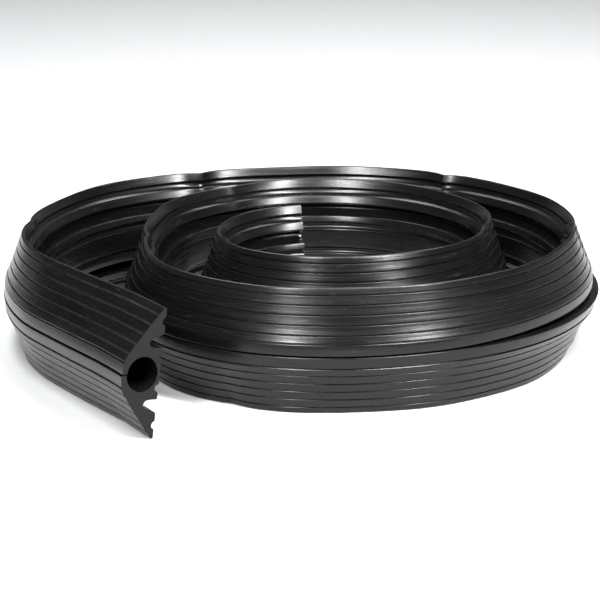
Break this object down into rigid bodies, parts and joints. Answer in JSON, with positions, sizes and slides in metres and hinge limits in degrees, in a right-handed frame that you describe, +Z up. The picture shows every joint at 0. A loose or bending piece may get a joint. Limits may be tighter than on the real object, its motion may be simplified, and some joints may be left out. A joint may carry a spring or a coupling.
{
  "type": "cable protector ramp",
  "caption": "Flexible rubber floor cable protector ramp, coiled on its edge, with a slit crown over a round cable bore, grooved ramps and channels under its base.",
  "frame": {"origin": "middle of the coil's bounding box in plan, on the floor plane that its lower edge stands on", "axes": "+Z up across the strip's width, +X to the right and +Y to the back as seen from the side of the outer cut end"},
  "size_m": [0.5814, 0.5782, 0.118],
  "materials": {
    "black_rubber": "satin black extruded rubber with fine lines along the strip"
  },
  "bodies": {
    "segment_01": {"strip_segment_01": "black_rubber", "outer_end_web": "black_rubber"},
    "segment_02": {"strip_segment_02": "black_rubber"},
    "segment_03": {"strip_segment_03": "black_rubber"},
    "segment_04": {"strip_segment_04": "black_rubber"},
    "segment_05": {"strip_segment_05": "black_rubber"},
    "segment_06": {"strip_segment_06": "black_rubber"},
    "segment_07": {"strip_segment_07": "black_rubber"},
    "segment_08": {"strip_segment_08": "black_rubber"},
    "segment_09": {"strip_segment_09": "black_rubber"},
    "segment_10": {"strip_segment_10": "black_rubber"},
    "segment_11": {"strip_segment_11": "black_rubber"},
    "segment_12": {"strip_segment_12": "black_rubber"},
    "segment_13": {"strip_segment_13": "black_rubber"},
    "segment_14": {"strip_segment_14": "black_rubber"},
    "segment_15": {"strip_segment_15": "black_rubber"},
    "segment_16": {"strip_segment_16": "black_rubber"},
    "segment_17": {"strip_segment_17": "black_rubber"},
    "segment_18": {"strip_segment_18": "black_rubber"},
    "segment_19": {"strip_segment_19": "black_rubber"},
    "segment_20": {"strip_segment_20": "black_rubber"},
    "segment_21": {"strip_segment_21": "black_rubber"},
    "segment_22": {"strip_segment_22": "black_rubber"},
    "segment_23": {"strip_segment_23": "black_rubber"},
    "segment_24": {"strip_segment_24": "black_rubber"},
    "segment_25": {"strip_segment_25": "black_rubber"},
    "segment_26": {"strip_segment_26": "black_rubber"},
    "segment_27": {"strip_segment_27": "black_rubber"},
    "segment_28": {"strip_segment_28": "black_rubber"},
    "segment_29": {"strip_segment_29": "black_rubber"},
    "segment_30": {"strip_segment_30": "black_rubber"},
    "segment_31": {"strip_segment_31": "black_rubber"},
    "segment_32": {"strip_segment_32": "black_rubber"},
    "segment_33": {"strip_segment_33": "black_rubber"},
    "segment_34": {"strip_segment_34": "black_rubber"},
    "segment_35": {"strip_segment_35": "black_rubber"},
    "segment_36": {"strip_segment_36": "black_rubber"},
    "segment_37": {"strip_segment_37": "black_rubber"},
    "segment_38": {"strip_segment_38": "black_rubber"},
    "segment_39": {"strip_segment_39": "black_rubber"},
    "segment_40": {"strip_segment_40": "black_rubber"},
    "segment_41": {"strip_segment_41": "black_rubber"},
    "segment_42": {"strip_segment_42": "black_rubber", "inner_end_web": "black_rubber"},
    "outer_upper_half": {"outer_end_upper_half": "black_rubber"},
    "outer_lower_half": {"outer_end_lower_half": "black_rubber"},
    "inner_upper_half": {"inner_end_upper_half": "black_rubber"},
    "inner_lower_half": {"inner_end_lower_half": "black_rubber"}
  },
  "joints": [
    {"name": "flex_01_02", "type": "hinge", "parent": "segment_02", "child": "segment_01", "pos_m": [-0.21073, -0.16174, 0.059], "axis": [0, 0, -1], "range_deg": [-0.5, 5.55]},
    {"name": "flex_02_03", "type": "hinge", "parent": "segment_03", "child": "segment_02", "pos_m": [-0.24523, -0.10088, 0.059], "axis": [0, 0, -1], "range_deg": [-0.5, 15.97]},
    {"name": "flex_03_04", "type": "hinge", "parent": "segment_04", "child": "segment_03", "pos_m": [-0.26939, -0.00451, 0.059], "axis": [0, 0, -1], "range_deg": [-0.5, 18.85]},
    {"name": "flex_04_05", "type": "hinge", "parent": "segment_05", "child": "segment_04", "pos_m": [-0.26419, 0.0651, 0.059], "axis": [0, 0, -1], "range_deg": [-0.5, 14.74]},
    {"name": "flex_05_06", "type": "hinge", "parent": "segment_06", "child": "segment_05", "pos_m": [-0.24202, 0.13129, 0.059], "axis": [0, 0, -1], "range_deg": [-0.5, 15.51]},
    {"name": "flex_06_07", "type": "hinge", "parent": "segment_07", "child": "segment_06", "pos_m": [-0.21174, 0.177, 0.059], "axis": [0, 0, -1], "range_deg": [-0.5, 16.27]},
    {"name": "flex_07_08", "type": "hinge", "parent": "segment_08", "child": "segment_07", "pos_m": [-0.17018, 0.21277, 0.059], "axis": [0, 0, -1], "range_deg": [-0.5, 15.09]},
    {"name": "flex_08_09", "type": "hinge", "parent": "segment_09", "child": "segment_08", "pos_m": [-0.09554, 0.24938, 0.059], "axis": [0, 0, -1], "range_deg": [-0.5, 13.91]},
    {"name": "flex_09_10", "type": "hinge", "parent": "segment_10", "child": "segment_09", "pos_m": [-0.01444, 0.26768, 0.059], "axis": [0, 0, -1], "range_deg": [-0.5, 13.91]},
    {"name": "flex_10_11", "type": "hinge", "parent": "segment_11", "child": "segment_10", "pos_m": [0.06868, 0.26669, 0.059], "axis": [0, 0, -1], "range_deg": [-0.5, 16.1]},
    {"name": "flex_11_12", "type": "hinge", "parent": "segment_12", "child": "segment_11", "pos_m": [0.13751, 0.24658, 0.059], "axis": [0, 0, -1], "range_deg": [-0.5, 18.29]},
    {"name": "flex_12_13", "type": "hinge", "parent": "segment_13", "child": "segment_12", "pos_m": [0.1969, 0.20642, 0.059], "axis": [0, 0, -1], "range_deg": [-0.5, 18.29]},
    {"name": "flex_13_14", "type": "hinge", "parent": "segment_14", "child": "segment_13", "pos_m": [0.24118, 0.15003, 0.059], "axis": [0, 0, -1], "range_deg": [-0.5, 18.29]},
    {"name": "flex_14_15", "type": "hinge", "parent": "segment_15", "child": "segment_14", "pos_m": [0.26613, 0.08281, 0.059], "axis": [0, 0, -1], "range_deg": [-0.5, 18.29]},
    {"name": "flex_15_16", "type": "hinge", "parent": "segment_16", "child": "segment_15", "pos_m": [0.26935, 0.01118, 0.059], "axis": [0, 0, -1], "range_deg": [-0.5, 17.81]},
    {"name": "flex_16_17", "type": "hinge", "parent": "segment_17", "child": "segment_16", "pos_m": [0.2511, -0.0582, 0.059], "axis": [0, 0, -1], "range_deg": [-0.5, 17.34]},
    {"name": "flex_17_18", "type": "hinge", "parent": "segment_18", "child": "segment_17", "pos_m": [0.21353, -0.11932, 0.059], "axis": [0, 0, -1], "range_deg": [-0.5, 17.34]},
    {"name": "flex_18_19", "type": "hinge", "parent": "segment_19", "child": "segment_18", "pos_m": [0.15987, -0.16693, 0.059], "axis": [0, 0, -1], "range_deg": [-0.5, 17.34]},
    {"name": "flex_19_20", "type": "hinge", "parent": "segment_20", "child": "segment_19", "pos_m": [0.09471, -0.19697, 0.059], "axis": [0, 0, -1], "range_deg": [-0.5, 17.34]},
    {"name": "uncoil", "type": "hinge", "parent": "segment_21", "child": "segment_20", "pos_m": [0.02365, -0.20684, 0.059], "axis": [0, 0, -1], "range_deg": [0, 19.85]},
    {"name": "flex_21_22", "type": "hinge", "parent": "segment_21", "child": "segment_22", "pos_m": [-0.04439, -0.19245, 0.059], "axis": [0, 0, 1], "range_deg": [-0.5, 23.36]},
    {"name": "flex_22_23", "type": "hinge", "parent": "segment_22", "child": "segment_23", "pos_m": [-0.1015, -0.15276, 0.059], "axis": [0, 0, 1], "range_deg": [-0.5, 23.36]},
    {"name": "flex_23_24", "type": "hinge", "parent": "segment_23", "child": "segment_24", "pos_m": [-0.13872, -0.094, 0.059], "axis": [0, 0, 1], "range_deg": [-0.5, 23.36]},
    {"name": "flex_24_25", "type": "hinge", "parent": "segment_24", "child": "segment_25", "pos_m": [-0.15018, -0.0254, 0.059], "axis": [0, 0, 1], "range_deg": [-0.5, 13.42]},
    {"name": "flex_25_26", "type": "hinge", "parent": "segment_25", "child": "segment_26", "pos_m": [-0.14539, 0.05454, 0.059], "axis": [0, 0, 1], "range_deg": [-0.5, 12.75]},
    {"name": "flex_26_27", "type": "hinge", "parent": "segment_26", "child": "segment_27", "pos_m": [-0.12837, 0.11518, 0.059], "axis": [0, 0, 1], "range_deg": [-0.5, 22.02]},
    {"name": "flex_27_28", "type": "hinge", "parent": "segment_27", "child": "segment_28", "pos_m": [-0.0903, 0.16534, 0.059], "axis": [0, 0, 1], "range_deg": [-0.5, 22.02]},
    {"name": "flex_28_29", "type": "hinge", "parent": "segment_28", "child": "segment_29", "pos_m": [-0.03649, 0.19805, 0.059], "axis": [0, 0, 1], "range_deg": [-0.5, 22.02]},
    {"name": "flex_29_30", "type": "hinge", "parent": "segment_29", "child": "segment_30", "pos_m": [0.02557, 0.20875, 0.059], "axis": [0, 0, 1], "range_deg": [-0.5, 22.02]},
    {"name": "flex_30_31", "type": "hinge", "parent": "segment_30", "child": "segment_31", "pos_m": [0.08723, 0.19594, 0.059], "axis": [0, 0, 1], "range_deg": [-0.5, 22.02]},
    {"name": "flex_31_32", "type": "hinge", "parent": "segment_31", "child": "segment_32", "pos_m": [0.1399, 0.16141, 0.059], "axis": [0, 0, 1], "range_deg": [-0.5, 23.9]},
    {"name": "flex_32_33", "type": "hinge", "parent": "segment_32", "child": "segment_33", "pos_m": [0.17625, 0.10616, 0.059], "axis": [0, 0, 1], "range_deg": [-0.5, 25.78]},
    {"name": "flex_33_34", "type": "hinge", "parent": "segment_33", "child": "segment_34", "pos_m": [0.18554, 0.04068, 0.059], "axis": [0, 0, 1], "range_deg": [-0.5, 25.78]},
    {"name": "flex_34_35", "type": "hinge", "parent": "segment_34", "child": "segment_35", "pos_m": [0.16596, -0.02249, 0.059], "axis": [0, 0, 1], "range_deg": [-0.5, 25.78]},
    {"name": "flex_35_36", "type": "hinge", "parent": "segment_35", "child": "segment_36", "pos_m": [0.12129, -0.07125, 0.059], "axis": [0, 0, 1], "range_deg": [-0.5, 25.78]},
    {"name": "flex_36_37", "type": "hinge", "parent": "segment_36", "child": "segment_37", "pos_m": [0.06007, -0.09626, 0.059], "axis": [0, 0, 1], "range_deg": [-0.5, 25.78]},
    {"name": "flex_37_38", "type": "hinge", "parent": "segment_37", "child": "segment_38", "pos_m": [-0.00597, -0.09273, 0.059], "axis": [0, 0, 1], "range_deg": [-0.5, 28.41]},
    {"name": "flex_38_39", "type": "hinge", "parent": "segment_38", "child": "segment_39", "pos_m": [-0.05004, -0.06628, 0.059], "axis": [0, 0, 1], "range_deg": [-0.5, 31.03]},
    {"name": "flex_39_40", "type": "hinge", "parent": "segment_39", "child": "segment_40", "pos_m": [-0.07457, -0.02111, 0.059], "axis": [0, 0, 1], "range_deg": [-0.5, 31.03]},
    {"name": "flex_40_41", "type": "hinge", "parent": "segment_40", "child": "segment_41", "pos_m": [-0.07275, 0.03026, 0.059], "axis": [0, 0, 1], "range_deg": [-0.5, 31.03]},
    {"name": "flex_41_42", "type": "hinge", "parent": "segment_41", "child": "segment_42", "pos_m": [-0.04508, 0.07357, 0.059], "axis": [0, 0, 1], "range_deg": [-0.5, 31.03]},
    {"name": "outer_slit_open", "type": "hinge", "parent": "segment_01", "child": "outer_upper_half", "pos_m": [-0.13868, -0.23344, 0.06375], "axis": [-0.5678, 0.8232, 0], "range_deg": [0, 20], "stiffness_Nm_per_rad": 0.6, "springref_deg": -2.86},
    {"name": "outer_slit_lower", "type": "hinge", "parent": "segment_01", "child": "outer_lower_half", "pos_m": [-0.13868, -0.23344, 0.05425], "axis": [0.5678, -0.8232, 0], "range_deg": [-0.3, 20.3], "stiffness_Nm_per_rad": 0.6, "springref_deg": -2.86},
    {"name": "inner_slit_open", "type": "hinge", "parent": "segment_42", "child": "inner_upper_half", "pos_m": [-0.00688, 0.07209, 0.06375], "axis": [0.8918, 0.4524, 0], "range_deg": [0, 20], "stiffness_Nm_per_rad": 0.6, "springref_deg": -2.86},
    {"name": "inner_slit_lower", "type": "hinge", "parent": "segment_42", "child": "inner_lower_half", "pos_m": [-0.00688, 0.07209, 0.05425], "axis": [-0.8918, -0.4524, 0], "range_deg": [-0.3, 20.3], "stiffness_Nm_per_rad": 0.6, "springref_deg": -2.86}
  ],
  "couplings": [
    {"joint": "flex_01_02", "follows": "uncoil", "ratio": 0.25444},
    {"joint": "flex_02_03", "follows": "uncoil", "ratio": 0.77943},
    {"joint": "flex_03_04", "follows": "uncoil", "ratio": 0.92441},
    {"joint": "flex_04_05", "follows": "uncoil", "ratio": 0.71771},
    {"joint": "flex_05_06", "follows": "uncoil", "ratio": 0.756},
    {"joint": "flex_06_07", "follows": "uncoil", "ratio": 0.79429},
    {"joint": "flex_07_08", "follows": "uncoil", "ratio": 0.73488},
    {"joint": "flex_08_09", "follows": "uncoil", "ratio": 0.67548},
    {"joint": "flex_09_10", "follows": "uncoil", "ratio": 0.67548},
    {"joint": "flex_10_11", "follows": "uncoil", "ratio": 0.7858},
    {"joint": "flex_11_12", "follows": "uncoil", "ratio": 0.89612},
    {"joint": "flex_12_13", "follows": "uncoil", "ratio": 0.89612},
    {"joint": "flex_13_14", "follows": "uncoil", "ratio": 0.89612},
    {"joint": "flex_14_15", "follows": "uncoil", "ratio": 0.89612},
    {"joint": "flex_15_16", "follows": "uncoil", "ratio": 0.87224},
    {"joint": "flex_16_17", "follows": "uncoil", "ratio": 0.84836},
    {"joint": "flex_17_18", "follows": "uncoil", "ratio": 0.84836},
    {"joint": "flex_18_19", "follows": "uncoil", "ratio": 0.84836},
    {"joint": "flex_19_20", "follows": "uncoil", "ratio": 0.84836},
    {"joint": "flex_21_22", "follows": "uncoil", "ratio": 1.1516},
    {"joint": "flex_22_23", "follows": "uncoil", "ratio": 1.1516},
    {"joint": "flex_23_24", "follows": "uncoil", "ratio": 1.1516},
    {"joint": "flex_24_25", "follows": "uncoil", "ratio": 0.65089},
    {"joint": "flex_25_26", "follows": "uncoil", "ratio": 0.61707},
    {"joint": "flex_26_27", "follows": "uncoil", "ratio": 1.084},
    {"joint": "flex_27_28", "follows": "uncoil", "ratio": 1.084},
    {"joint": "flex_28_29", "follows": "uncoil", "ratio": 1.084},
    {"joint": "flex_29_30", "follows": "uncoil", "ratio": 1.084},
    {"joint": "flex_30_31", "follows": "uncoil", "ratio": 1.084},
    {"joint": "flex_31_32", "follows": "uncoil", "ratio": 1.1789},
    {"joint": "flex_32_33", "follows": "uncoil", "ratio": 1.2738},
    {"joint": "flex_33_34", "follows": "uncoil", "ratio": 1.2738},
    {"joint": "flex_34_35", "follows": "uncoil", "ratio": 1.2738},
    {"joint": "flex_35_36", "follows": "uncoil", "ratio": 1.2738},
    {"joint": "flex_36_37", "follows": "uncoil", "ratio": 1.2738},
    {"joint": "flex_37_38", "follows": "uncoil", "ratio": 1.4061},
    {"joint": "flex_38_39", "follows": "uncoil", "ratio": 1.5384},
    {"joint": "flex_39_40", "follows": "uncoil", "ratio": 1.5384},
    {"joint": "flex_40_41", "follows": "uncoil", "ratio": 1.5384},
    {"joint": "flex_41_42", "follows": "uncoil", "ratio": 1.5384},
    {"joint": "outer_slit_lower", "follows": "outer_slit_open", "ratio": 1},
    {"joint": "inner_slit_lower", "follows": "inner_slit_open", "ratio": 1}
  ]
}
